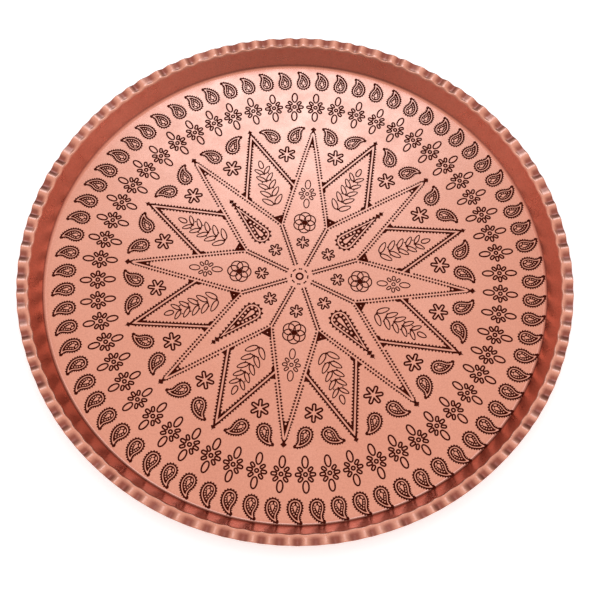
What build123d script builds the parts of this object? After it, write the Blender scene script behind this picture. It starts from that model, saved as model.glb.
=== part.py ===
from build123d import *
from math import cos, radians, sin, sqrt
import os

# Round copper dining tray: one raised sheet with a hammered lip, its floor covered with a
# star pattern of thin black marks.  Millimetres, +Z up, the underside
# rests on Z = 0 and the tray axis is the Z axis.  Angles are degrees clockwise from +Y.

# Sheet, raised into a floor, a flared wall and a narrow lip
SHEET = 1.2
RIM_RADIUS = 200.0
RIM_HEIGHT = 18.0
FOLD_RADIUS = 192.6
FOLD_HEIGHT = 16.6
FOOT_RADIUS = 184.0
COVE_RADIUS = 3.0
FOLD_ROUNDING = 1.6

# Hammer dents across the lip
DENTS = 102
DENT_WIDTH = 11.9
DENT_DEPTH = 0.55
DENT_OVERRUN = 0.4

# The punched pattern was laid out by hand, a little off the tray axis
PATTERN_SHIFT = (2.8, -1.9)
MARK_THICKNESS = 0.2
SECTORS = 8
SECTOR = 360 / SECTORS
HALF_SECTOR = SECTOR / 2

# Star: eight long kites with eight shorter triangles between their points
KITE_APEX = 125.7
SHOULDER_RADIUS = 45.0
RAY_START = 10.2
MINOR_APEX = 125.4
MINOR_END = 76.2
MINOR_END_ANGLE = 14.4
LINE = 1.25
THIN_ROW = 0.95
THICK_ROW = 1.7

# Flowers and paisleys
LOBES = 6
SMALL_FLOWER_RADIUS = 27.9
KITE_MOTIF_RADIUS = 44.6
KITE_FLOWER_RADIUS = 69.3
GAP_FLOWER_RADIUS = 104.7
GAP_FLOWER_ANGLE = 10.4
KITE_PAISLEY = (119.5, 7.0, -22.6)
MINOR_PAISLEY = (120.8, 8.05, -36.9)
FLOWER_COUNT = 56
FLOWER_RING = 147.8
PAISLEY_COUNT = 72
PAISLEY_RING = 169.5
PAISLEY_START = 1.15
PAISLEY_LEAN = -1.65
TAIL_DIRECTION = Vector(-0.5, 0.87)


def at(radius, angle, lean=0.0):
    """Where a motif sits in the pattern; its own +Y points outward, leaning clockwise."""
    x, y = polar(radius, angle)
    return Pos(PATTERN_SHIFT[0] + x, PATTERN_SHIFT[1] + y) * Rot(0, 0, -angle - lean)


def polar(radius, angle):
    return (radius * sin(radians(angle)), radius * cos(radians(angle)))


def parallel_points(points, distance):
    """Shift an open chain of points to its right, keeping the corners mitred."""
    chain = [Vector(*point) for point in points]
    steps = [(b - a).normalized() for a, b in zip(chain, chain[1:])]
    sides = [Vector(step.Y, -step.X) for step in steps]
    shifted = [chain[0] + sides[0] * distance]
    for corner, before, after in zip(chain[1:-1], sides, sides[1:]):
        mitre = (before + after) * (1 / (1 + before.dot(after)))
        shifted.append(corner + mitre * distance)
    shifted.append(chain[-1] + sides[-1] * distance)
    return [(point.X, point.Y) for point in shifted]


def dish():
    """The sheet as one turned section: flat floor, flared wall and narrow lip."""
    foot = (FOOT_RADIUS, SHEET)
    fold = (FOLD_RADIUS, FOLD_HEIGHT)
    top = [(0, SHEET), foot, fold, (RIM_RADIUS, RIM_HEIGHT)]
    under = parallel_points(top, SHEET)
    under[-1] = (RIM_RADIUS, under[-1][1])
    section = make_face(Polyline(*top, *reversed(under), close=True))
    section = round_corner(section, foot, COVE_RADIUS)
    section = round_corner(section, under[1], COVE_RADIUS + SHEET)
    section = round_corner(section, fold, FOLD_ROUNDING)
    section = round_corner(section, under[2], FOLD_ROUNDING / 2)
    return revolve(Plane.XZ * section, Axis.Z)


def round_corner(section, corner, radius):
    nearest = section.vertices().sort_by_distance((*corner, 0))[0]
    return fillet(nearest, radius)


def dent_cutters():
    """One shallow trough for each hammer blow, running across the slope of the lip."""
    half = DENT_WIDTH / 2
    trough = ThreePointArc((-half, 0), (0, -DENT_DEPTH), (half, 0))
    cover = Polyline((-half, 0), (-half, 1.5), (half, 1.5), (half, 0))
    run = RIM_RADIUS - FOLD_RADIUS
    rise = RIM_HEIGHT - FOLD_HEIGHT
    start = (0, FOLD_RADIUS - DENT_OVERRUN * run, FOLD_HEIGHT - DENT_OVERRUN * rise)
    across = Plane(origin=start, x_dir=(-1, 0, 0), z_dir=(0, run, rise))
    cutter = extrude(across * make_face(trough + cover), 2 * run)
    return [Rot(0, 0, -360 * number / DENTS) * cutter for number in range(DENTS)]


def merged(shapes):
    whole = shapes[0]
    for shape in shapes[1:]:
        whole = whole + shape
    return whole


def outline(*points):
    return make_face(Polyline(*points, close=True))


def both_sides(shapes):
    return shapes + [mirror(shape, Plane.YZ) for shape in shapes]


def every_sector(shapes, first_angle):
    """Copies of shapes drawn in a kite's or triangle's own frame, once for each sector."""
    turns = [first_angle + SECTOR * number for number in range(SECTORS)]
    return [at(0, turn) * shape for turn in turns for shape in shapes]


def row(start, end, side, width, trim_start, trim_end):
    """A strip for one toothed row beside a bright line; side +1 is the line's right."""
    first = Vector(*start)
    last = Vector(*end)
    step = (last - first).normalized()
    near = Vector(step.Y, -step.X) * side * LINE / 2
    far = Vector(step.Y, -step.X) * side * (LINE / 2 + width)
    first = first + step * trim_start
    last = last - step * trim_end
    corners = [first + near, last + near, last + far, first + far]
    return outline(*[(corner.X, corner.Y) for corner in corners])


def ray_rows():
    """Both sides of the bright ray shared by two neighbouring kites."""
    start = (0, RAY_START)
    end = (0, SHOULDER_RADIUS)
    return [row(start, end, side, THIN_ROW, 3.5, 2.5) for side in (1, -1)]


def kite_rows():
    """Long edges of a kite; the outer side is broken where a triangle's edge runs in."""
    shoulder = polar(SHOULDER_RADIUS, HALF_SECTOR)
    apex = (0, KITE_APEX)
    inside = row(shoulder, apex, -1, THIN_ROW, 4.0, 15.0)
    outside_low = row(shoulder, apex, 1, THIN_ROW, 8.0, 57.0)
    outside_high = row(shoulder, apex, 1, THIN_ROW, 41.8, 4.5)
    return both_sides([inside, outside_low, outside_high])


def minor_rows():
    """Edges of a triangle between two kites."""
    end = polar(MINOR_END, MINOR_END_ANGLE)
    apex = (0, MINOR_APEX)
    outside = row(end, apex, 1, THICK_ROW, 5.2, 1.0)
    inside = row(end, apex, -1, THICK_ROW, 4.2, 9.5)
    return both_sides([outside, inside])


def corner_fills():
    """Black corners on both sides of a triangle's edge where it meets a kite."""
    outside = outline((10.8, 76.6), (9.9, 80.9), (13.5, 79.5))
    inside = outline((11.2, 74.8), (13.2, 77.0), (13.6, 74.4), (12.9, 71.2), (12.0, 70.9))
    return both_sides([outside, inside])


def square_mark(size):
    return Rot(0, 0, 45) * Rectangle(size, size)


def loop(length, width, line, x=0.0, y=0.0, turn=0.0):
    """An oval ring, its long axis turned clockwise from +Y."""
    outer = Ellipse(width / 2, length / 2)
    inner = Ellipse(width / 2 - line, length / 2 - line)
    return Pos(x, y) * Rot(0, 0, -turn) * (outer - inner)


def loop_flower(scale, line):
    """Centre ring, six small petals and two long loops along the radius."""
    long_petal = (9.2 * scale, 5.2 * scale)
    petal = (4.9 * scale, 3.4 * scale)
    pieces = [Circle(1.7 * scale) - Circle(1.7 * scale - line)]
    for side in (-1, 1):
        pieces.append(loop(*long_petal, line, y=8.5 * scale * side))
        pieces.append(loop(*petal, line, x=5.3 * scale * side, turn=90))
        for end in (-1, 1):
            x = 3.65 * scale * side
            y = 3.65 * scale * end
            pieces.append(loop(*petal, line, x, y, 45 * side * end))
    return merged(pieces)


def lobed_flower(reach, lobe_width, line):
    """A six-lobed flower drawn as one line of even width."""
    return lobes(reach, lobe_width) - lobes(reach - line, lobe_width - 2 * line)


def lobes(reach, width):
    """Round-ended arms all leaving one middle, the first along +Y."""
    arm = Rectangle(width, reach - width / 2, align=(Align.CENTER, Align.MIN))
    arm = arm + Pos(0, reach - width / 2) * Circle(width / 2)
    return merged([Rot(0, 0, 360 * number / LOBES) * arm for number in range(LOBES)])


def rosette():
    """Six thin rings that all pass through the middle."""
    ring = Circle(4.6) - Circle(4.0)
    rings = [Rot(0, 0, 360 * number / LOBES) * Pos(0, 4.3) * ring for number in range(LOBES)]
    return merged([Circle(1.2)] + rings)


def leaf_sprig():
    """Five pairs of outlined leaves and one at the tip, drawn from the star's centre."""
    line = 0.6
    leaves = [loop(7.6, 4.3, line, y=99.1)]
    for pair in range(5):
        length = 9.6 - 0.45 * pair
        x = 4.1 - 0.22 * pair
        y = 66.2 + 6.85 * pair
        for side in (-1, 1):
            leaves.append(loop(length, 0.44 * length, line, side * x, y, side * 45))
    return merged(leaves)


def drop(radius, tip):
    """A round end about the origin drawn out to a point up +Y."""
    touch_y = radius * radius / tip
    touch_x = sqrt(radius * radius - touch_y * touch_y)
    return Circle(radius) + outline((0, tip), (-touch_x, touch_y), (0, 0), (touch_x, touch_y))


def teardrop():
    """Toothed band and core of a drop, with two square marks above its point."""
    toothed_band = drop(7.1, 31.6) - drop(6.1, 29.6)
    core = drop(4.9, 25.0) - drop(1.4, 14.0)
    lower_mark = Pos(0, 33.4) * square_mark(2.2)
    upper_mark = Pos(0, 36.6) * square_mark(2.0)
    return merged([toothed_band, core, lower_mark, upper_mark])


def comma(growth):
    """Paisley outline about its round end, grown evenly from the bright line's middle."""
    tail = Vector(-3.06, 10.37)
    right = [(-0.3, 8.9), (1.7, 6.9), (3.2, 4.7), (3.8, 2.4)]
    round_end = [(3.78, 0), (2.67, -2.67), (0, -3.78), (-2.67, -2.67), (-3.78, 0)]
    left = [(-3.5, 2.9), (-2.7, 4.8), (-2.2, 6.8), (-2.35, 8.5)]
    base = [tail] + [Vector(*point) for point in right + round_end + left] + [tail]
    grown = [tail + TAIL_DIRECTION * growth]
    for before, point, after in zip(base, base[1:], base[2:]):
        along = (after - before).normalized()
        grown.append(point + Vector(-along.Y, along.X) * growth)
    bottom = 7
    right_side = Spline(*grown[:bottom + 1])
    left_side = Spline(*grown[bottom:], grown[0])
    return make_face(right_side + left_side)


def paisley():
    """A black comma band round the bright line, and a black core holding a bright drop."""
    toothed_band = comma(1.2) - comma(0.4)
    core = comma(-0.4) - Pos(0.1, 0.5) * drop(0.95, 3.2)
    return toothed_band + core


def black_marks():
    """Flat shapes of every mark, in groups that become the inlay nodes."""
    sectors = [SECTOR * number for number in range(SECTORS)]
    cardinals = sectors[0::2]
    diagonals = sectors[1::2]
    punch = paisley()
    mirrored_punch = mirror(punch, Plane.YZ)
    gap_flower = lobed_flower(7.1, 3.4, 1.15)
    small_flower = lobed_flower(5.2, 2.7, 0.9)
    ring_flower = loop_flower(1.0, 0.85)
    kite_flower = loop_flower(0.89, 0.6)
    drop_motif = teardrop()
    rosette_motif = rosette()
    dash = Rectangle(2.6, 0.8)
    kite_wedge = outline((0, 121.8), (-2.1, 111.6), (2.1, 111.6))
    minor_wedge = outline((0, 123.3), (2.2, 117.4), (0.8, 117.0), (0, 119.4),
                          (-0.8, 117.0), (-2.2, 117.4))
    shoulder = outline((0, 46.4), (-3.2, 51.2), (3.2, 51.2))

    marks = {
        "centre_ring_inlay": [at(0, 0) * (Circle(3.1) - Circle(1.7))],
        "centre_dash_inlay": [at(6.1, angle) * dash for angle in sectors],
        "kite_ray_inlay": every_sector(ray_rows(), HALF_SECTOR),
        "kite_edge_inlay": every_sector(kite_rows(), 0),
        "kite_wedge_inlay": every_sector([kite_wedge], 0),
        "kite_tip_inlay": [at(127.6, angle) * square_mark(3.0) for angle in sectors],
        "minor_edge_inlay": every_sector(minor_rows(), HALF_SECTOR),
        "minor_corner_inlay": every_sector(corner_fills(), 0),
        "minor_wedge_inlay": every_sector([minor_wedge], HALF_SECTOR),
        "minor_tip_inlay": [at(129.3, angle + HALF_SECTOR) * square_mark(2.7)
                            for angle in sectors],
        "shoulder_inlay": every_sector([shoulder], HALF_SECTOR),
        "small_flower_inlay": [at(SMALL_FLOWER_RADIUS, angle) * small_flower
                               for angle in sectors],
        "rosette_inlay": [at(KITE_MOTIF_RADIUS, angle) * rosette_motif for angle in cardinals],
        "kite_flower_inlay": [at(KITE_FLOWER_RADIUS, angle) * kite_flower
                              for angle in cardinals],
        "teardrop_inlay": [at(KITE_MOTIF_RADIUS, angle) * drop_motif for angle in diagonals],
        "leaf_sprig_inlay": every_sector([leaf_sprig()], HALF_SECTOR),
    }

    gap_flowers = []
    gap_paisleys = []
    for angle in sectors:
        minor_angle = angle + HALF_SECTOR
        for side, shape in ((1, punch), (-1, mirrored_punch)):
            offset_angle = side * GAP_FLOWER_ANGLE
            gap_flowers.append(
                at(GAP_FLOWER_RADIUS, angle + offset_angle, -offset_angle) * gap_flower)
            radius, swing, lean = KITE_PAISLEY
            gap_paisleys.append(at(radius, angle + side * swing, side * lean) * shape)
            radius, swing, lean = MINOR_PAISLEY
            gap_paisleys.append(at(radius, minor_angle + side * swing, side * lean) * shape)
    marks["gap_flower_inlay"] = gap_flowers
    marks["gap_paisley_inlay"] = gap_paisleys

    marks["flower_ring_inlay"] = [
        at(FLOWER_RING, 360 * number / FLOWER_COUNT) * ring_flower
        for number in range(FLOWER_COUNT)]
    marks["paisley_ring_inlay"] = [
        at(PAISLEY_RING, PAISLEY_START + 360 * number / PAISLEY_COUNT, PAISLEY_LEAN) * punch
        for number in range(PAISLEY_COUNT)]
    return marks


def inlay(shapes):
    """Thin solids lying on the floor of the dish, one for each separate mark."""
    faces = [face for shape in shapes for face in shape.faces()]
    return [extrude(Pos(0, 0, SHEET) * face, MARK_THICKNESS, dir=(0, 0, 1)) for face in faces]


os.makedirs("parts", exist_ok=True)
export_step(dish().cut(*dent_cutters()), "parts/tray_body.step")
for name, shapes in black_marks().items():
    solids = [solid for piece in inlay(shapes) for solid in piece.solids()]
    export_step(Compound(children=solids), f"parts/{name}.step")
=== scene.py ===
from math import cos, pi, radians, sin

import bpy
import numpy as np
from mathutils import Matrix, Vector
from mathutils.geometry import delaunay_2d_cdt


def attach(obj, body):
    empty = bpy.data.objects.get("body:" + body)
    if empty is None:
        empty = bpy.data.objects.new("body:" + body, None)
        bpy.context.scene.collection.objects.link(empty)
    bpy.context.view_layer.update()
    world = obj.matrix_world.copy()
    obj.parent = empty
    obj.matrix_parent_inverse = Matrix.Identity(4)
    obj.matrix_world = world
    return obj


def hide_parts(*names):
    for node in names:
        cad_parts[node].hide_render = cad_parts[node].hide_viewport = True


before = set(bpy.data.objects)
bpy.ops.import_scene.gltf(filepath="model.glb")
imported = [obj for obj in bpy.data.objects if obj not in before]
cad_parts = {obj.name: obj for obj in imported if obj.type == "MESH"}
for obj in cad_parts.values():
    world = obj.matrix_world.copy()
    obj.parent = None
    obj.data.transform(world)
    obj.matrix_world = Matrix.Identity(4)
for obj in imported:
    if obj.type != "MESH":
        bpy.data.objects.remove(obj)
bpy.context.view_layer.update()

# Looks of a copper tray around its CAD frame.  Shapes are drawn in millimetres and written
# to the meshes in metres; angles are degrees clockwise from +Y.
MM = 0.001
rng = np.random.default_rng(7)

# Sheet
SHEET = 1.2
RIM_RADIUS = 200.0
RIM_HEIGHT = 18.0
FOLD_RADIUS = 192.65
FOLD_HEIGHT = 16.6
FOOT_RADIUS = 184.0
COVE_RADIUS = 3.2
COVE_CLIMB = 0.86
WALL_LEAN = 30.0
FOLD_BEAD = 0.28
FOLD_BEAD_SHARE = 0.16
FLOOR_RINGS = 26
COVE_RINGS = 7
WALL_SHARES = (0.07, 0.35, 0.6, 0.78, 0.9)
LIP_SHARES = (0.0, 0.07, 0.16, 0.3, 0.45, 0.6, 0.75, 0.88, 0.96)
UNDER_RINGS = 8
FLOOR_WARP = 0.05
FLOOR_RIPPLE = 0.03
WARP_END = 178.0
WARP_FADE = 30.0

# Hammered lip
DENTS = 102
STEPS_PER_DENT = 12
DENT_DEPTH = 1.4
SWAY_OUT = 0.35
SWAY_UP = 0.5

# Colour tones laid over the copper: painted shade dulls the foot and deepens the wall, and painted shade
# with patina darkens the crease and the hammer dents
FLOOR_TONE = (1.0, 1.0, 1.0)
# Painted shade: the floor duller towards the cove at the wall's foot
FOOT_SHADE_TONE = (0.90, 0.78, 0.76)
# Painted shade: the wall deeper and redder than the floor, for the shade and copper reflections it shows
WALL_SHADE_TONE = (1.2, 0.90, 0.87)
# Painted shade with patina: its tone, and how far it darkens the hammer dents and the crease
SHADE_AND_PATINA_TONE = (0.38, 0.22, 0.21)
DENT_SHADE_AND_PATINA = 0.95
CREASE_SHADE_AND_PATINA = 0.8

# Pattern
PATTERN_SHIFT = (2.8, -1.9)
MARK_BELOW = 0.05
MARK_ABOVE = 0.1
SECTORS = 8
SECTOR = 360 / SECTORS
HALF_SECTOR = SECTOR / 2
KITE_APEX = 125.7
SHOULDER_RADIUS = 45.0
RAY_START = 9.4
MINOR_APEX = 125.4
MINOR_END = 76.2
MINOR_END_ANGLE = 14.4
LINE = 1.25
LOBES = 6

# Where the motifs sit in the pattern.  The paisleys between the star's points have a radius,
# an angle from their point and a lean.
DASH_RADIUS = 6.1
SMALL_FLOWER_RADIUS = 27.9
KITE_MOTIF_RADIUS = 44.6
TEARDROP_RADIUS = 44.8
KITE_FLOWER_RADIUS = 69.3
KITE_TIP_RADIUS = 127.3
MINOR_TIP_RADIUS = 129.2
GAP_FLOWER_RADIUS = 104.7
GAP_FLOWER_ANGLE = 10.4
KITE_PAISLEY = (119.5, 7.0, -22.6)
MINOR_PAISLEY = (120.8, 8.05, -36.9)
FLOWER_COUNT = 56
FLOWER_RING = 147.8
PAISLEY_COUNT = 72
PAISLEY_RING = 169.5
PAISLEY_START = 1.15
PAISLEY_LEAN = -1.65

# Spread of the hand-made error in place, turn and size
HAND_SLIP = 0.12
HAND_TURN = 1.1
HAND_SIZE = 0.012

# Studio, in metres; the sky is dimmed in front of and behind the tray
TABLE_HALF = 4.0
TABLE_GLOW = 0.42
SKY_STRENGTH = 1.07
FRONT_SHARE = 0.4
BACK_SHARE = 0.4
KEY_PLACE = (-0.12, 1.43, 1.78)
KEY_SIZE = (0.85, 0.6)
KEY_POWER = 5.8
KEY_COLOUR = (0.35, 0.71, 1.0)

# Camera; the place of the pattern's middle is given in the camera's own axes, in metres
SENSOR_WIDTH = 36
LENS = 59.6
TILT = 23.134
ROLL = 2.709
SPIN = 2.4265
MIDDLE_IN_VIEW = (-0.000281, 0.017452, -0.731306)


# ---------------------------------------------------------------- the sheet

def floor_height(x, y):
    """Top of the sheet in mm: a floor that is not quite flat, then the cove to the wall."""
    r = np.hypot(x, y)
    warp = FLOOR_WARP * np.sin(x / 31 + 1.0) * np.sin(y / 37)
    warp = warp + FLOOR_RIPPLE * np.sin(x / 13 - y / 17)
    warp = warp * np.clip((WARP_END - r) / WARP_FADE, 0, 1)
    run = np.clip(r - cove_start(), 0, COVE_CLIMB * COVE_RADIUS)
    return SHEET + warp + COVE_RADIUS - np.sqrt(COVE_RADIUS ** 2 - run ** 2)


def cove_start():
    """Radius where the flat floor ends and the cove begins."""
    half_turn = radians(90 - WALL_LEAN) / 2
    return FOOT_RADIUS - COVE_RADIUS * np.tan(half_turn)


def section():
    """Top and under skin of the sheet: (radius, height, dent share, inward share) per ring."""
    stations = []
    flat_end = cove_start()
    for r in [*np.linspace(0.5, flat_end - 1.6, FLOOR_RINGS - 1), flat_end]:
        stations.append((r, SHEET, 0.0, 0.0))
    for angle in np.linspace(8, 90 - WALL_LEAN, COVE_RINGS):
        a = radians(angle)
        r = flat_end + COVE_RADIUS * sin(a)
        stations.append((r, SHEET + COVE_RADIUS * (1 - cos(a)), 0.0, 0.0))
    foot = stations[-1]
    for share in WALL_SHARES:
        r = foot[0] + share * (FOLD_RADIUS - foot[0])
        z = foot[1] + share * (FOLD_HEIGHT - foot[1])
        dent = max(0.0, share - 0.5) / 0.5
        stations.append((r, z, 0.4 * dent ** 2, 0.55 * dent ** 2))
    for share in LIP_SHARES:
        r = FOLD_RADIUS + share * (RIM_RADIUS - FOLD_RADIUS)
        z = FOLD_HEIGHT + share * (RIM_HEIGHT - FOLD_HEIGHT)
        if share < FOLD_BEAD_SHARE:
            z += FOLD_BEAD * sin(pi * share / FOLD_BEAD_SHARE)
        stations.append((r, z, min(1.05, 0.5 + 1.4 * share), 0.55 * (1 - share) ** 2))
    under = [(RIM_RADIUS, RIM_HEIGHT - 0.25, 0.8, 0.15),
             (RIM_RADIUS - 0.05, RIM_HEIGHT - 0.85, 0.8, 0.15)]
    for r, z, dent, inward in reversed(stations[FLOOR_RINGS:]):
        outward, down = under_shift(r)
        under.append((r + outward, max(0.0, z + down), dent, inward))
    for r in np.linspace(flat_end, 0.5, UNDER_RINGS):
        under.append((r, 0.0, 0.0, 0.0))
    return stations, under


def under_shift(r):
    """Step from the top skin to the under skin, square to the sheet."""
    if r > FOLD_RADIUS + 1.0:
        return (0.2, -SHEET)
    lean = radians(90 - WALL_LEAN)
    turn = min(1.0, max(0.0, (r - cove_start()) / (COVE_CLIMB * COVE_RADIUS))) * lean
    return (SHEET * sin(turn), -SHEET * cos(turn))


def dent_profile(theta):
    """Depth share of the uneven hammer dents at each angle: 0 on the ridges, about 1 in a dent."""
    shift = rng.uniform(-0.13, 0.13, DENTS)
    depth = rng.uniform(0.72, 1.2, DENTS)
    ridges = np.arange(DENTS) + shift
    place = theta / (2 * pi) * DENTS
    cell = np.searchsorted(ridges, place, side="right") - 1
    start = ridges[cell % DENTS] + np.floor_divide(cell, DENTS) * DENTS
    stop = ridges[(cell + 1) % DENTS] + np.floor_divide(cell + 1, DENTS) * DENTS
    u = (place - start) / (stop - start) * 2 - 1
    return np.cos(pi / 2 * u) ** 2 * depth[cell % DENTS]


def tray_mesh():
    """Points, faces and colour tones (painted shade and patina) of the whole sheet as one closed skin."""
    count = DENTS * STEPS_PER_DENT
    theta = np.arange(count) / count * 2 * pi
    dents = dent_profile(theta)
    sway = 0.25 * np.sin(7 * theta + 1) + 0.2 * np.sin(13 * theta)
    top, under = section()
    rings = top + under
    tones = [ring_tones(r, dents) for r, z, dent, inward in top]
    tones.append(np.tile(FLOOR_TONE, (count * len(under) + 2, 1)))
    points = []
    for r, z, dent, inward in rings:
        radius = r - inward * dents + SWAY_OUT * sway * (dent > 0.5)
        height = z - DENT_DEPTH * dent * dents + SWAY_UP * sway * dent
        x = radius * np.sin(theta)
        y = radius * np.cos(theta)
        if z == SHEET:
            height = floor_height(x, y)
        points.append(np.stack([x, y, np.broadcast_to(height, x.shape)], 1))
    points = np.concatenate(points)
    faces = []
    around = np.arange(count)
    after = (around + 1) % count
    for ring in range(len(rings) - 1):
        low = ring * count
        high = low + count
        faces.append(np.stack([low + around, high + around, high + after, low + after], 1))
    top_middle = len(points)
    points = np.vstack([points, [[0, 0, SHEET], [0, 0, 0]]])
    quads = np.concatenate(faces).tolist()
    last = (len(rings) - 1) * count
    quads += [(top_middle, int(a), int(b)) for a, b in zip(around, after)]
    quads += [(top_middle + 1, int(last + b), int(last + a)) for a, b in zip(around, after)]
    return points, quads, np.concatenate(tones)


def ring_tones(r, dents):
    """Colour tone of one ring: painted shade dulling the foot and deepening the wall, and painted shade
    with patina in the crease and the hammer dents.
    """
    floor_tone, foot_shade_tone, wall_shade_tone, shade_and_patina_tone = np.array([FLOOR_TONE, FOOT_SHADE_TONE, WALL_SHADE_TONE, SHADE_AND_PATINA_TONE])
    # The lip: painted shade with patina darkens the hammer dents, fading in past the fold
    if r > FOLD_RADIUS - 0.2:
        inside = np.clip((r - FOLD_RADIUS - 1.0) / 1.9, 0, 1)
        dent_darkening = DENT_SHADE_AND_PATINA * inside * np.clip(1.35 * dents, 0, 1)
        return floor_tone + (shade_and_patina_tone - floor_tone) * dent_darkening[:, None]
    # Painted shade deepens and reddens the wall above the foot
    if r > FOOT_RADIUS:
        base = wall_shade_tone
    else:
        # Painted shade dulls the floor towards the cove
        base = floor_tone + (foot_shade_tone - floor_tone) * np.clip((r - cove_start() + 1.0) / 2.2, 0, 1)
    # Painted shade with patina in the crease at the wall's foot
    crease = CREASE_SHADE_AND_PATINA * np.exp(-((r - FOOT_RADIUS - 0.6) / 0.5) ** 2)
    return np.tile(base + (shade_and_patina_tone - base) * crease, (len(dents), 1))


def add_mesh(name, points, faces, smooth=False):
    """A new object in the scene from points in millimetres."""
    mesh = bpy.data.meshes.new(name)
    mesh.from_pydata((np.asarray(points) * MM).tolist(), [], faces)
    mesh.update()
    if smooth:
        mesh.polygons.foreach_set("use_smooth", [True] * len(mesh.polygons))
    item = bpy.data.objects.new(name, mesh)
    bpy.context.scene.collection.objects.link(item)
    return item


# ------------------------------------------------------- drawing flat marks

def polar(radius, angle):
    """The point at a radius and a clockwise angle from +Y."""
    return np.array([radius * sin(radians(angle)), radius * cos(radians(angle))])


def turned(points, angle):
    """Points turned clockwise about the origin."""
    a = radians(angle)
    p = np.asarray(points, float)
    return np.stack([p[:, 0] * cos(a) + p[:, 1] * sin(a), p[:, 1] * cos(a) - p[:, 0] * sin(a)], 1)


def oval(width, length, x=0.0, y=0.0, turn=0.0, steps=20):
    """An ellipse outline, its length along +Y before turning."""
    a = np.arange(steps) / steps * 2 * pi
    return turned(np.stack([width / 2 * np.cos(a), length / 2 * np.sin(a)], 1), turn) + (x, y)


def capsule(width, length, x=0.0, y=0.0, turn=0.0, steps=7):
    """A round-ended bar, its long axis along +Y before turning."""
    a = np.linspace(0, pi, steps)
    cap = np.stack([width / 2 * np.cos(a), width / 2 * np.sin(a)], 1)
    reach = (length - width) / 2
    return turned(np.concatenate([cap + (0, reach), -cap - (0, reach)]), turn) + (x, y)


# A drawing is a list painted in order: (kind, stays black, outer outline, inner outline).

def black(points):
    """A filled shape."""
    return ("fill", True, np.asarray(points, float), None)


def bright(points):
    """A shape scraped out of what was painted before it."""
    return ("fill", False, np.asarray(points, float), None)


def ring(outer, inner):
    """A black line between two outlines that leaves its inside as it was."""
    return ("ring", True, np.asarray(outer, float), np.asarray(inner, float))


def signed_area(p):
    """Area of an outline, positive when it runs counterclockwise."""
    q = np.roll(p, -1, 0)
    return 0.5 * float(np.sum(p[:, 0] * q[:, 1] - q[:, 0] * p[:, 1]))


def flatten(drawing):
    """Resolve painted shapes into the triangles that stay black, with their outline edges."""
    points = []
    faces = []
    for _, _, outer, inner in drawing:
        for shape in (outer, inner):
            if shape is None:
                faces.append(None)
                continue
            shape = shape if signed_area(shape) > 0 else shape[::-1]
            faces.append(list(range(len(points), len(points) + len(shape))))
            points.extend(Vector(p) for p in shape)
    used = [face for face in faces if face is not None]
    number = [index for index, face in enumerate(faces) if face is not None]
    verts, _, tris, _, _, origin = delaunay_2d_cdt(points, [], used, 1, 1e-5, True)
    kept = []
    for tri, inside in zip(tris, origin):
        covered = {number[i] for i in inside}
        colour = False
        for index, (kind, value, _, _) in enumerate(drawing):
            if kind == "fill" and 2 * index in covered:
                colour = value
            if kind == "ring" and 2 * index in covered and 2 * index + 1 not in covered:
                colour = True
        if colour:
            kept.append(tri)
    tris = np.array(kept, int)
    verts = np.array([(v.x, v.y) for v in verts], float)
    a, b, c = (verts[tris[:, k]] for k in range(3))
    area = (b - a)[:, 0] * (c - a)[:, 1] - (b - a)[:, 1] * (c - a)[:, 0]
    tris[area < 0] = tris[area < 0][:, ::-1]
    tris = tris[np.abs(area) > 1e-9]
    edges = dict.fromkeys((int(tri[k]), int(tri[(k + 1) % 3])) for tri in tris for k in range(3))
    border = [e for e in edges if (e[1], e[0]) not in edges]
    keep, renumbered = np.unique(tris, return_inverse=True)
    index = {int(old): new for new, old in enumerate(keep)}
    border = np.array([(index[p], index[q]) for p, q in border], int)
    return verts[keep], renumbered.reshape(-1, 3), border


def placed(flat, radius, angle, lean=0.0, mirror=False, jitter=0.0):
    """One copy of a flat motif in the pattern, with a little hand-made error."""
    points, tris, border = flat
    if mirror:
        points = points * (-1, 1)
        tris = tris[:, ::-1]
        border = border[:, ::-1]
    slip = rng.normal(0, HAND_SLIP * jitter, 2)
    turn = angle + lean + rng.normal(0, HAND_TURN * jitter)
    size = 1 + rng.normal(0, HAND_SIZE * jitter)
    where = polar(radius, angle) + PATTERN_SHIFT + slip
    return turned(points * size, turn) + where, tris, border


def mark_piece(name, copies, material):
    """All copies of a motif as thin closed slabs following the floor of the dish."""
    points = []
    faces = []
    for flat_points, tris, border in copies:
        base = len(points)
        count = len(flat_points)
        x = flat_points[:, 0]
        y = flat_points[:, 1]
        height = floor_height(x, y)
        top = np.stack([x, y, height + MARK_ABOVE], 1)
        bottom = np.stack([x, y, height - MARK_BELOW], 1)
        points.extend(top.tolist())
        points.extend(bottom.tolist())
        faces.extend((tris + base).tolist())
        faces.extend((tris[:, ::-1] + base + count).tolist())
        p = border[:, 0] + base
        q = border[:, 1] + base
        faces.extend(np.stack([q, p, p + count, q + count], 1).tolist())
    item = add_mesh(name, points, faces)
    item.data.materials.append(material)
    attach(item, "root")
    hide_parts(name)
    return item


# ------------------------------------------------------------ motif drawings

def frame_of(start, end):
    """Start, direction, right-hand side and length of a line."""
    start = np.asarray(start, float)
    end = np.asarray(end, float)
    length = np.hypot(*(end - start))
    step = (end - start) / length
    return start, step, np.array([step[1], -step[0]]), length


def toothed_row(start, end, side, trims, base, tooth, pitch):
    """A strip beside a bright line, toothed outside; side +1 is its right, trims stay bare."""
    origin, step, out, length = frame_of(start, end)
    first, last = trims[0], length - trims[1]
    near = LINE / 2
    count = max(1, round((last - first) / pitch))
    pitch = (last - first) / count
    chain = [(first, near)]
    for k in range(count):
        chain.append((first + pitch * (k + 0.08), near + base))
        chain.append((first + pitch * (k + 0.5), near + base + tooth))
        chain.append((first + pitch * (k + 0.92), near + base))
    chain.append((last, near))
    return black([origin + step * s + out * side * t for s, t in chain])


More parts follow.
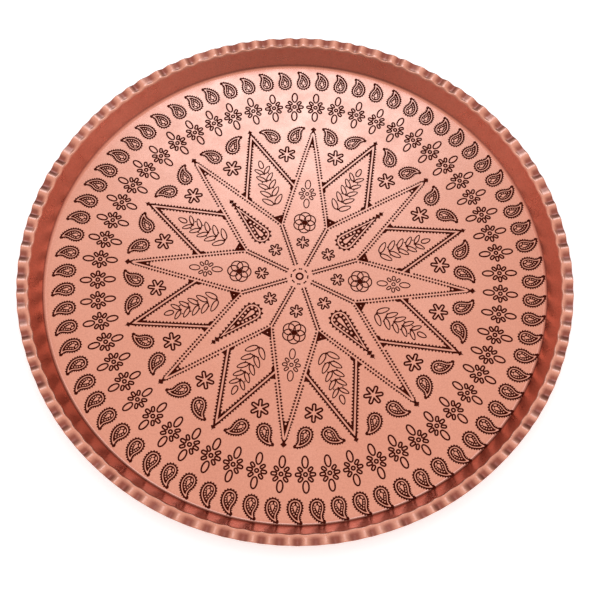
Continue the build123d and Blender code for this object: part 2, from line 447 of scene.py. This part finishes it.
def dotted_row(start, end, side, trims, width, height, pitch):
    """Separate small pointed marks beside a bright line."""
    origin, step, out, length = frame_of(start, end)
    first, last = trims[0], length - trims[1]
    count = max(1, round((last - first) / pitch))
    pitch = (last - first) / count
    near = LINE / 2 - 0.05
    marks = []
    for k in range(count):
        middle = first + pitch * (k + 0.5)
        shape = [(-0.42, 0), (0.42, 0), (0.5, 0.42), (0, 1), (-0.5, 0.42)]
        marks.append(black([origin + step * (middle + s * width)
                            + out * side * (near + t * height) for s, t in shape]))
    return marks


def flip(drawing):
    """The same drawing mirrored in the Y axis."""
    return [(kind, value, outer * (-1, 1), None if inner is None else inner * (-1, 1))
            for kind, value, outer, inner in drawing]


def ray_rows():
    """Both sides of the bright ray shared by two neighbouring kites."""
    ends = ((0, RAY_START), (0, SHOULDER_RADIUS))
    return [toothed_row(*ends, side, (0.0, 0.3), 0.6, 1.15, 2.15) for side in (1, -1)]


def kite_rows():
    """Dotted long edges of a kite, broken where a triangle's edge runs in."""
    shoulder = polar(SHOULDER_RADIUS, HALF_SECTOR)
    apex = (0, KITE_APEX)
    size = (1.7, 1.8, 2.28)
    half = dotted_row(shoulder, apex, -1, (1.2, 15.5), *size)
    half += dotted_row(shoulder, apex, 1, (8.2, 56.5), *size)
    half += dotted_row(shoulder, apex, 1, (42.0, 14.0), *size)
    half.append(toothed_row(shoulder, apex, 1, (71.6, 2.0), 0.4, 1.1, 2.1))
    cap = black([(0, 127.5), (1.9, 123.8), (0.75, 123.6), (0, 124.6), (-0.75, 123.6),
                 (-1.9, 123.8)])
    return half + flip(half) + [cap]


def minor_rows():
    """Thick toothed edges of a triangle between two kites."""
    end = polar(MINOR_END, MINOR_END_ANGLE)
    apex = (0, MINOR_APEX)
    half = [toothed_row(end, apex, 1, (3.8, 0.6), 0.95, 1.25, 2.45),
            toothed_row(end, apex, -1, (2.6, 5.2), 0.95, 1.25, 2.45)]
    cap = black([(0, 130.0), (2.6, 124.4), (0.9, 124.4), (0, 126.6), (-0.9, 124.4),
                 (-2.6, 124.4)])
    return half + flip(half) + [cap]


def corner_fills():
    """Black corners on both sides of a triangle's edge where it meets a kite."""
    outside = black([(10.7, 76.4), (9.9, 81.2), (12.4, 80.6), (14.6, 80.3)])
    inside = black([(11.1, 74.9), (13.8, 77.6), (14.2, 75.9), (13.3, 75.0),
                    (13.9, 72.9), (12.7, 70.6), (11.9, 70.9)])
    return [outside, inside] + flip([outside, inside])


def kite_wedge():
    """Black wedge with two bright dots inside a kite's point."""
    drawing = [black([(0, 122.2), (-2.5, 109.9), (0, 111.0), (2.5, 109.9)])]
    drawing.append(bright(oval(1.5, 1.6, 0, 112.6, steps=12)))
    drawing.append(bright(oval(1.9, 2.2, 0, 109.9, steps=12)))
    return drawing


def minor_wedge():
    """Forked black wedge inside a triangle's point."""
    return [black([(0, 123.4), (2.45, 117.0), (0.9, 115.4), (0, 119.6), (-0.9, 115.4),
                   (-2.45, 117.0)])]


def knot(width, height, spike=0.0):
    """A square punch mark on its point, with nicked sides and an optional spike on top."""
    w, h = width / 2, height / 2
    quarter = [(0.0, h + spike), (0.22 * w, 0.7 * h), (0.5 * w, 0.75 * h), (0.5 * w, 0.42 * h),
               (0.8 * w, 0.36 * h), (w, 0.0)]
    right = quarter + [(x, -y) for x, y in reversed(quarter[1:-1])] + [(0.0, -h)]
    return np.array(right + [(-x, y) for x, y in reversed(right[1:-1])])


def loop_ring(width, length, line, x=0.0, y=0.0, turn=0.0):
    """An oval loop drawn with one line."""
    return ring(oval(width, length, x, y, turn, 24),
                oval(width - 2 * line, length - 2 * line, x, y, turn, 24))


def capsule_ring(width, length, line, x=0.0, y=0.0, turn=0.0):
    """A round-ended loop drawn with one line."""
    return ring(capsule(width, length, x, y, turn),
                capsule(width - 2 * line, length - 2 * line, x, y, turn, 5))


def loop_flower(petal, long_petal, diagonal, line, reach, long_reach, middle):
    """Centre ring, two level petals, four diagonal petals and two long loops."""
    drawing = [ring(oval(2 * middle, 2 * middle, steps=16),
                    oval(2 * (middle - line), 2 * (middle - line), steps=12))]
    for side in (-1, 1):
        drawing.append(loop_ring(*long_petal, line, y=long_reach * side))
        drawing.append(capsule_ring(*petal, line, x=reach * side, turn=90))
        for end in (-1, 1):
            drawing.append(capsule_ring(*diagonal, line, 0.71 * reach * side,
                                        0.71 * reach * end, 45 * side * end))
    return drawing


def lobed_flower(reach, width, line):
    """Six round lobes drawn with one line of even width."""
    def arms(length, breadth):
        arm = capsule(breadth, length + breadth / 2, 0, (length - breadth / 2) / 2, 0, 9)
        return [turned(arm, 360 * k / LOBES) for k in range(LOBES)]

    drawing = [black(arm) for arm in arms(reach, width)]
    drawing += [bright(arm) for arm in arms(reach - line, width - 2 * line)]
    drawing.append(bright(oval(2.6 * line, 2.6 * line, steps=12)))
    return drawing


def rosette():
    """Six thin rings through one middle, with a small black star in it."""
    radius = 4.3
    line = 0.88
    drawing = []
    for k in range(LOBES):
        x, y = polar(radius, 360 * k / LOBES)
        outer = 2 * radius + line
        inner = 2 * radius - line
        drawing.append(ring(oval(outer, outer, x, y, 0, 40), oval(inner, inner, x, y, 0, 40)))
    star = [polar(2.0 if k % 2 == 0 else 0.8, 30 * k) for k in range(12)]
    return drawing + [black(star)]


def leaf(length, width, x, y, turn, tip=0.35):
    """A leaf outline, rounder at the stem and a little pointed at its outer end."""
    a = np.arange(22) / 22 * 2 * pi
    along = np.sin(a)
    across = np.cos(a) * (1 - tip * 0.5 * (along + 0.2))
    return turned(np.stack([width / 2 * across, length / 2 * along], 1), turn) + (x, y)


def leaf_sprig():
    """Five pairs of outlined leaves and one at the tip, drawn from the star's centre."""
    line = 0.92
    drawing = [ring(leaf(7.8, 4.5, 0, 99.1, 0), leaf(7.8 - 2 * line, 4.5 - 2 * line, 0, 99.1, 0))]
    heights = (66.2, 73.4, 80.2, 86.9, 93.4)
    for pair, y in enumerate(heights):
        length = 10.2 - 0.5 * pair
        width = 0.46 * length
        x = 4.25 - 0.25 * pair
        drawing.append(black(oval(1.5, 1.8, 0, y - 3.1, steps=10)))
        for side in (-1, 1):
            shape = (side * x, y, side * 45)
            drawing.append(ring(leaf(length, width, *shape),
                                leaf(length - 2 * line, width - 2 * line, *shape)))
            if pair:
                drawing.append(black(oval(0.9, 1.5, side * 3.4, y - 3.3, side * 20, 8)))
    return drawing


def drop_outline(radius, tip, steps=18):
    """A round end about the origin drawn out to a point up +Y."""
    touch = np.arcsin(radius / tip)
    a = np.linspace(touch, -pi - touch, steps)
    arc = np.stack([radius * np.cos(a), radius * np.sin(a)], 1)
    return np.concatenate([[(0, tip)], arc])


def toothed(outline, base, tip, count):
    """Grow an outline by base, with evenly spaced teeth that reach tip."""
    closed = np.vstack([outline, outline[:1]])
    lengths = np.hypot(*np.diff(closed, axis=0).T)
    total = np.concatenate([[0], np.cumsum(lengths)])
    marks = (np.arange(4 * count) + 0.5) / (4 * count) * total[-1]
    x = np.interp(marks, total, closed[:, 0])
    y = np.interp(marks, total, closed[:, 1])
    path = np.stack([x, y], 1)
    ahead = np.roll(path, -2, 0) - np.roll(path, 2, 0)
    out = np.stack([-ahead[:, 1], ahead[:, 0]], 1) / np.hypot(*ahead.T)[:, None]
    if signed_area(outline) > 0:
        out = -out
    flank = base + 0.45 * (tip - base)
    growth = np.tile([base, flank, tip, flank], count)
    return path + out * growth[:, None]


def teardrop():
    """Toothed drop with a bright rim, a beaded black core and two knots on its tip."""
    bright_edge = drop_outline(6.1, 30.4)
    drawing = [black(toothed(bright_edge, 0.45, 2.3, 26)), black([(0, 34), (-1.5, 28), (1.5, 28)])]
    drawing.append(bright(bright_edge))
    drawing.append(black(drop_outline(4.9, 26.2)))
    drawing.append(bright(drop_outline(1.6, 9.6, 12)))
    drawing.append(bright(oval(1.8, 1.8, 0, -3.5, steps=12)))
    drawing.append(bright(oval(1.9, 1.9, 0, 13.2, steps=12)))
    drawing.append(bright(capsule(1.3, 4.0, 0, 18.4)))
    for side in (-1, 1):
        for x, y in ((3.1, -2.3), (3.5, 0.9), (2.85, 4.2), (2.15, 7.3), (1.45, 10.2)):
            drawing.append(bright(oval(1.85, 1.85, side * x, y, steps=12)))
    drawing.append(black(knot(4.8, 3.6) + (0, 32.9)))
    drawing.append(black(knot(3.8, 3.6, 1.1) + (0, 36.0)))
    return drawing


def comma_outline():
    """Middle of a paisley's bright line, about the centre of its round end."""
    spine = [(-3.06, 10.37), (-0.3, 8.9), (1.7, 6.9), (3.2, 4.7), (3.8, 2.4), (3.78, 0),
             (2.67, -2.67), (0, -3.78), (-2.67, -2.67), (-3.78, 0), (-3.5, 2.9),
             (-2.7, 4.8), (-2.2, 6.8), (-2.35, 8.5)]
    smooth = [spine[0]]
    count = len(spine)
    for k in range(count):
        p0 = np.array(spine[k - 1]) if k else 2 * np.array(spine[0]) - np.array(spine[1])
        p1 = np.array(spine[k])
        p2 = np.array(spine[(k + 1) % count])
        p3 = np.array(spine[(k + 2) % count]) if k < count - 1 else 2 * p2 - p1
        for t in (0.25, 0.5, 0.75, 1.0):
            smooth.append(0.5 * (2 * p1 + (p2 - p0) * t + (2 * p0 - 5 * p1 + 4 * p2 - p3) * t * t
                                 + (3 * p1 - p0 - 3 * p2 + p3) * t ** 3))
    return np.array(smooth[:-1])


def grown(outline, amount):
    """Outline moved outward along its normals."""
    ahead = np.roll(outline, -1, 0) - np.roll(outline, 1, 0)
    out = np.stack([-ahead[:, 1], ahead[:, 0]], 1) / np.hypot(*ahead.T)[:, None]
    if signed_area(outline) > 0:
        out = -out
    return outline + out * amount


def paisley():
    """Toothed paisley with a bright line, a beaded black core and a knot on its tail."""
    middle = comma_outline()
    bright_edge = grown(middle, 0.32)
    drawing = [black(toothed(bright_edge, 0.95, 1.9, 24)), bright(bright_edge)]
    core = grown(middle, -0.34)
    drawing.append(black(core[3:-2]))
    for x, y in ((-0.48, 6.2), (0.75, 5.05), (1.6, 3.55), (2.1, 2.0), (2.1, 0.45),
                 (-1.2, 4.4), (-1.75, 2.9), (-2.2, 1.3)):
        drawing.append(bright(oval(1.05, 1.05, x, y, steps=8)))
    drawing.append(bright(capsule(1.1, 2.4, -1.6, -1.2, -35, 4)))
    drawing.append(bright(capsule(1.1, 2.3, 1.0, -1.25, 42, 4)))
    drawing.append(bright(drop_outline(1.1, 3.4, 10) + (0.0, 0.55)))
    drawing.append(black(turned(knot(2.7, 2.3), -20) + (-4.0, 11.2)))
    return drawing


def dash():
    """Two dots side by side."""
    return [black(oval(1.5, 1.25, side * 0.7, 0, steps=10)) for side in (-1, 1)]


# ---------------------------------------------------------------- materials

def principled(name):
    """A new material with its nodes, links and shader."""
    material = bpy.data.materials.new(name)
    material.use_nodes = True
    nodes = material.node_tree.nodes
    return material, nodes, material.node_tree.links, nodes["Principled BSDF"]


def noise(nodes, links, coords, scale, detail, roughness=0.55):
    """Noise in object space; scale is in cells per metre."""
    node = nodes.new("ShaderNodeTexNoise")
    node.inputs["Scale"].default_value = scale
    node.inputs["Detail"].default_value = detail
    node.inputs["Roughness"].default_value = roughness
    links.new(coords.outputs["Object"], node.inputs["Vector"])
    return node


def ramp(nodes, links, source, stops):
    """Colours placed along the source value."""
    node = nodes.new("ShaderNodeValToRGB")
    while len(node.color_ramp.elements) < len(stops):
        node.color_ramp.elements.new(0.5)
    for element, (place, colour) in zip(node.color_ramp.elements, stops):
        element.position = place
        element.color = (*colour, 1)
    links.new(source, node.inputs["Fac"])
    return node


def spread_value(nodes, links, source, low, high):
    """The middle of a noise's range spread from low to high."""
    node = nodes.new("ShaderNodeMapRange")
    node.inputs["From Min"].default_value = 0.3
    node.inputs["From Max"].default_value = 0.7
    node.inputs["To Min"].default_value = low
    node.inputs["To Max"].default_value = high
    links.new(source, node.inputs["Value"])
    return node


def copper():
    """Satin copper: slow colour drift, fine mottling, uneven gloss and a fine grain."""
    material, nodes, links, shader = principled("copper")
    coords = nodes.new("ShaderNodeTexCoord")
    slow = noise(nodes, links, coords, 14, 3)
    tint = ramp(nodes, links, slow.outputs["Fac"],
                [(0.3, (0.755, 0.30, 0.20)), (0.52, (0.785, 0.322, 0.218)), (0.72, (0.815, 0.345, 0.238))])
    mottle = noise(nodes, links, coords, 750, 3, 0.7)
    shade = ramp(nodes, links, mottle.outputs["Fac"],
                 [(0.3, (0.80, 0.78, 0.77)), (0.62, (1, 1, 1))])
    mixed = nodes.new("ShaderNodeMix")
    mixed.data_type = "RGBA"
    mixed.blend_type = "MULTIPLY"
    mixed.inputs["Factor"].default_value = 0.8
    links.new(tint.outputs["Color"], mixed.inputs["A"])
    links.new(shade.outputs["Color"], mixed.inputs["B"])
    # The tone attribute multiplies the painted shade and patina into the copper colour
    tone = nodes.new("ShaderNodeAttribute")
    tone.attribute_name = "tone"
    toned = nodes.new("ShaderNodeMix")
    toned.data_type = "RGBA"
    toned.blend_type = "MULTIPLY"
    toned.inputs["Factor"].default_value = 1.0
    links.new(mixed.outputs["Result"], toned.inputs["A"])
    links.new(tone.outputs["Color"], toned.inputs["B"])
    links.new(toned.outputs["Result"], shader.inputs["Base Color"])
    shader.inputs["Metallic"].default_value = 1.0
    shader.inputs["Coat Weight"].default_value = 0.3
    shader.inputs["Coat Roughness"].default_value = 0.25
    gloss = noise(nodes, links, coords, 60, 5, 0.65)
    rough = spread_value(nodes, links, gloss.outputs["Fac"], 0.25, 0.35)
    links.new(rough.outputs["Result"], shader.inputs["Roughness"])
    grain = noise(nodes, links, coords, 900, 3, 0.6)
    ripple = noise(nodes, links, coords, 45, 2)
    height = nodes.new("ShaderNodeMath")
    height.operation = "MULTIPLY_ADD"
    height.inputs[1].default_value = 12.0
    links.new(ripple.outputs["Fac"], height.inputs[0])
    links.new(grain.outputs["Fac"], height.inputs[2])
    bump = nodes.new("ShaderNodeBump")
    bump.inputs["Strength"].default_value = 0.25
    bump.inputs["Distance"].default_value = 0.00004
    links.new(height.outputs["Value"], bump.inputs["Height"])
    links.new(bump.outputs["Normal"], shader.inputs["Normal"])
    return material


def black_fill():
    """Dull black wax with worn, slightly coppery patches."""
    material, nodes, links, shader = principled("black_fill")
    coords = nodes.new("ShaderNodeTexCoord")
    wear = noise(nodes, links, coords, 260, 4, 0.6)
    tint = ramp(nodes, links, wear.outputs["Fac"],
                [(0.35, (0.050, 0.005, 0.002)), (0.6, (0.070, 0.008, 0.004)), (0.8, (0.11, 0.02, 0.012))])
    links.new(tint.outputs["Color"], shader.inputs["Base Color"])
    rough = spread_value(nodes, links, wear.outputs["Fac"], 0.6, 0.85)
    shader.inputs["Specular IOR Level"].default_value = 0.0
    links.new(rough.outputs["Result"], shader.inputs["Roughness"])
    bump = nodes.new("ShaderNodeBump")
    bump.inputs["Strength"].default_value = 0.4
    bump.inputs["Distance"].default_value = 0.00005
    links.new(wear.outputs["Fac"], bump.inputs["Height"])
    links.new(bump.outputs["Normal"], shader.inputs["Normal"])
    return material


def pale_table():
    """Plain white card, lit a little from below like a photographer's light table."""
    material, nodes, links, shader = principled("table")
    shader.inputs["Base Color"].default_value = (0.95, 0.95, 0.95, 1)
    shader.inputs["Roughness"].default_value = 0.7
    shader.inputs["Emission Color"].default_value = (1, 1, 1, 1)
    shader.inputs["Emission Strength"].default_value = TABLE_GLOW
    return material


# ------------------------------------------------------------ build the tray

copper_material = copper()
fill_material = black_fill()

tray_points, tray_faces, tray_tones = tray_mesh()
tray = add_mesh("tray_body", tray_points, tray_faces, smooth=True)
# The tone attribute carries the painted shade and patina of each point
tone_layer = tray.data.attributes.new("tone", "FLOAT_COLOR", "POINT")
tone_layer.data.foreach_set("color", np.hstack([tray_tones, np.ones((len(tray_tones), 1))]).ravel())
tray.data.materials.append(copper_material)
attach(tray, "root")
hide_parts("tray_body")

sectors = [SECTOR * k for k in range(SECTORS)]
halves = [angle + HALF_SECTOR for angle in sectors]


def at_each(name, drawing, angles, radius=0.0, jitter=0.0):
    """One piece holding a copy of the drawing at every angle."""
    flat = flatten(drawing)
    copies = [placed(flat, radius, angle, jitter=jitter) for angle in angles]
    return mark_piece(name, copies, fill_material)


at_each("centre_ring_inlay", [ring(oval(6.2, 6.2, steps=28), oval(3.4, 3.4, steps=20))], [0])
at_each("centre_dash_inlay", dash(), sectors, DASH_RADIUS, jitter=0.6)
at_each("kite_ray_inlay", ray_rows(), halves)
at_each("kite_edge_inlay", kite_rows(), sectors)
at_each("kite_wedge_inlay", kite_wedge(), sectors)
at_each("kite_tip_inlay", [black(knot(4.4, 4.2, 0.5))], sectors, KITE_TIP_RADIUS, jitter=0.8)
at_each("minor_edge_inlay", minor_rows(), halves)
at_each("minor_corner_inlay", corner_fills(), sectors)
at_each("minor_wedge_inlay", minor_wedge(), halves)
at_each("minor_tip_inlay", [black(knot(3.7, 3.4, 1.0))], halves, MINOR_TIP_RADIUS, jitter=0.8)
shoulder = [black([(0, SHOULDER_RADIUS), (-4.5, 52.6), (4.5, 52.6)]),
            bright(oval(0.9, 0.9, 0, 50.2, steps=10))]
at_each("shoulder_inlay", shoulder, halves)
at_each("small_flower_inlay", lobed_flower(5.35, 2.9, 1.08), sectors, SMALL_FLOWER_RADIUS, jitter=0.8)
at_each("rosette_inlay", rosette(), sectors[0::2], KITE_MOTIF_RADIUS, jitter=0.5)
kite_flower = loop_flower((3.0, 4.3), (4.9, 8.5), (2.75, 4.3), 0.82, 4.65, 8.3, 1.65)
at_each("kite_flower_inlay", kite_flower, sectors[0::2], KITE_FLOWER_RADIUS, jitter=0.5)
at_each("teardrop_inlay", teardrop(), sectors[1::2], TEARDROP_RADIUS, jitter=0.4)
at_each("leaf_sprig_inlay", leaf_sprig(), halves)

gap_flower = flatten(lobed_flower(7.2, 3.5, 1.25))
mark_piece("gap_flower_inlay",
           [placed(gap_flower, GAP_FLOWER_RADIUS, angle + side * GAP_FLOWER_ANGLE,
                   -side * GAP_FLOWER_ANGLE, jitter=1.0)
            for angle in sectors for side in (1, -1)], fill_material)

punch = flatten(paisley())


def paisley_beside(point_angle, side, seat):
    """A paisley to the right (side +1) of a star point or, mirrored, to its left."""
    radius, swing, lean = seat
    return placed(punch, radius, point_angle + side * swing, side * lean, side < 0, jitter=0.8)


gap_paisleys = []
for angle in sectors:
    for side in (1, -1):
        gap_paisleys.append(paisley_beside(angle, side, KITE_PAISLEY))
        gap_paisleys.append(paisley_beside(angle + HALF_SECTOR, side, MINOR_PAISLEY))
mark_piece("gap_paisley_inlay", gap_paisleys, fill_material)

ring_flower = loop_flower((3.4, 5.1), (5.3, 9.3), (3.2, 4.9), 1.2, 4.9, 8.5, 1.85)
flower_angles = [360 * k / FLOWER_COUNT for k in range(FLOWER_COUNT)]
at_each("flower_ring_inlay", ring_flower, flower_angles, FLOWER_RING, jitter=1.0)
paisley_angles = [PAISLEY_START + 360 * k / PAISLEY_COUNT for k in range(PAISLEY_COUNT)]
mark_piece("paisley_ring_inlay",
           [placed(punch, PAISLEY_RING, angle, PAISLEY_LEAN, jitter=0.8) for angle in paisley_angles],
           fill_material)

# The CAD nodes wear the same materials as the pieces that stand in for them
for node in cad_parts.values():
    node.data.materials.clear()
    node.data.materials.append(copper_material if node.name == "tray_body" else fill_material)


# --------------------------------------------------------- floor and lights

table = bpy.data.meshes.new("table")
table.from_pydata([(-TABLE_HALF, -TABLE_HALF, 0), (TABLE_HALF, -TABLE_HALF, 0),
                   (TABLE_HALF, TABLE_HALF, 0), (-TABLE_HALF, TABLE_HALF, 0)], [], [(0, 1, 2, 3)])
table_object = bpy.data.objects.new("table", table)
bpy.context.scene.collection.objects.link(table_object)
table.materials.append(pale_table())


def softbox(name, place, size, power, colour):
    """A rectangular lamp aimed at the middle of the tray."""
    light = bpy.data.lights.new(name, "AREA")
    light.color = colour
    light.shape = "RECTANGLE"
    light.size, light.size_y = size
    light.energy = power
    item = bpy.data.objects.new(name, light)
    item.location = place
    item.rotation_euler = (-Vector(place)).to_track_quat("-Z", "Y").to_euler()
    bpy.context.scene.collection.objects.link(item)


softbox("key", KEY_PLACE, KEY_SIZE, KEY_POWER, KEY_COLOUR)


def soft_sky():
    """A plain studio dome: dimmer near the horizon and at the front and back."""
    world = bpy.data.worlds.new("world")
    bpy.context.scene.world = world
    world.use_nodes = True
    nodes = world.node_tree.nodes
    links = world.node_tree.links
    coords = nodes.new("ShaderNodeTexCoord")
    split = nodes.new("ShaderNodeSeparateXYZ")
    links.new(coords.outputs["Generated"], split.inputs["Vector"])
    sky = ramp(nodes, links, split.outputs["Z"],
               [(0.0, (0.6, 0.6, 0.6)), (0.3, (0.85, 0.85, 0.85)),
                (0.75, (0.95, 0.95, 0.95)), (1.0, (0.98, 0.98, 0.98))])
    depth = nodes.new("ShaderNodeMapRange")
    depth.inputs["From Min"].default_value = -1.0
    links.new(split.outputs["Y"], depth.inputs["Value"])
    shade = ramp(nodes, links, depth.outputs["Result"],
                 [(0.05, (FRONT_SHARE,) * 3), (0.4, (1, 1, 1)),
                  (0.78, (1, 1, 1)), (0.9, (BACK_SHARE,) * 3)])
    dimmed = nodes.new("ShaderNodeMix")
    dimmed.data_type = "RGBA"
    dimmed.blend_type = "MULTIPLY"
    dimmed.inputs["Factor"].default_value = 1.0
    links.new(sky.outputs["Color"], dimmed.inputs["A"])
    links.new(shade.outputs["Color"], dimmed.inputs["B"])
    links.new(dimmed.outputs["Result"], nodes["Background"].inputs["Color"])
    nodes["Background"].inputs["Strength"].default_value = SKY_STRENGTH


soft_sky()
bpy.context.scene.view_settings.view_transform = "Standard"


# -------------------------------------------------------------------- camera

camera_data = bpy.data.cameras.new("camera")
camera_data.sensor_width = SENSOR_WIDTH
camera_data.lens = LENS
camera = bpy.data.objects.new("camera", camera_data)
bpy.context.scene.collection.objects.link(camera)
tilt = Matrix.Rotation(radians(TILT), 3, "X")
roll = Matrix.Rotation(radians(ROLL), 3, "Z")
spin = Matrix.Rotation(radians(SPIN), 3, "Z")
turn = spin @ tilt @ roll
pattern_middle = Vector((PATTERN_SHIFT[0] * MM, PATTERN_SHIFT[1] * MM, SHEET * MM))
camera.matrix_world = Matrix.LocRotScale(pattern_middle - turn @ Vector(MIDDLE_IN_VIEW), turn, None)
bpy.context.scene.camera = camera
camera_data.clip_end = 50
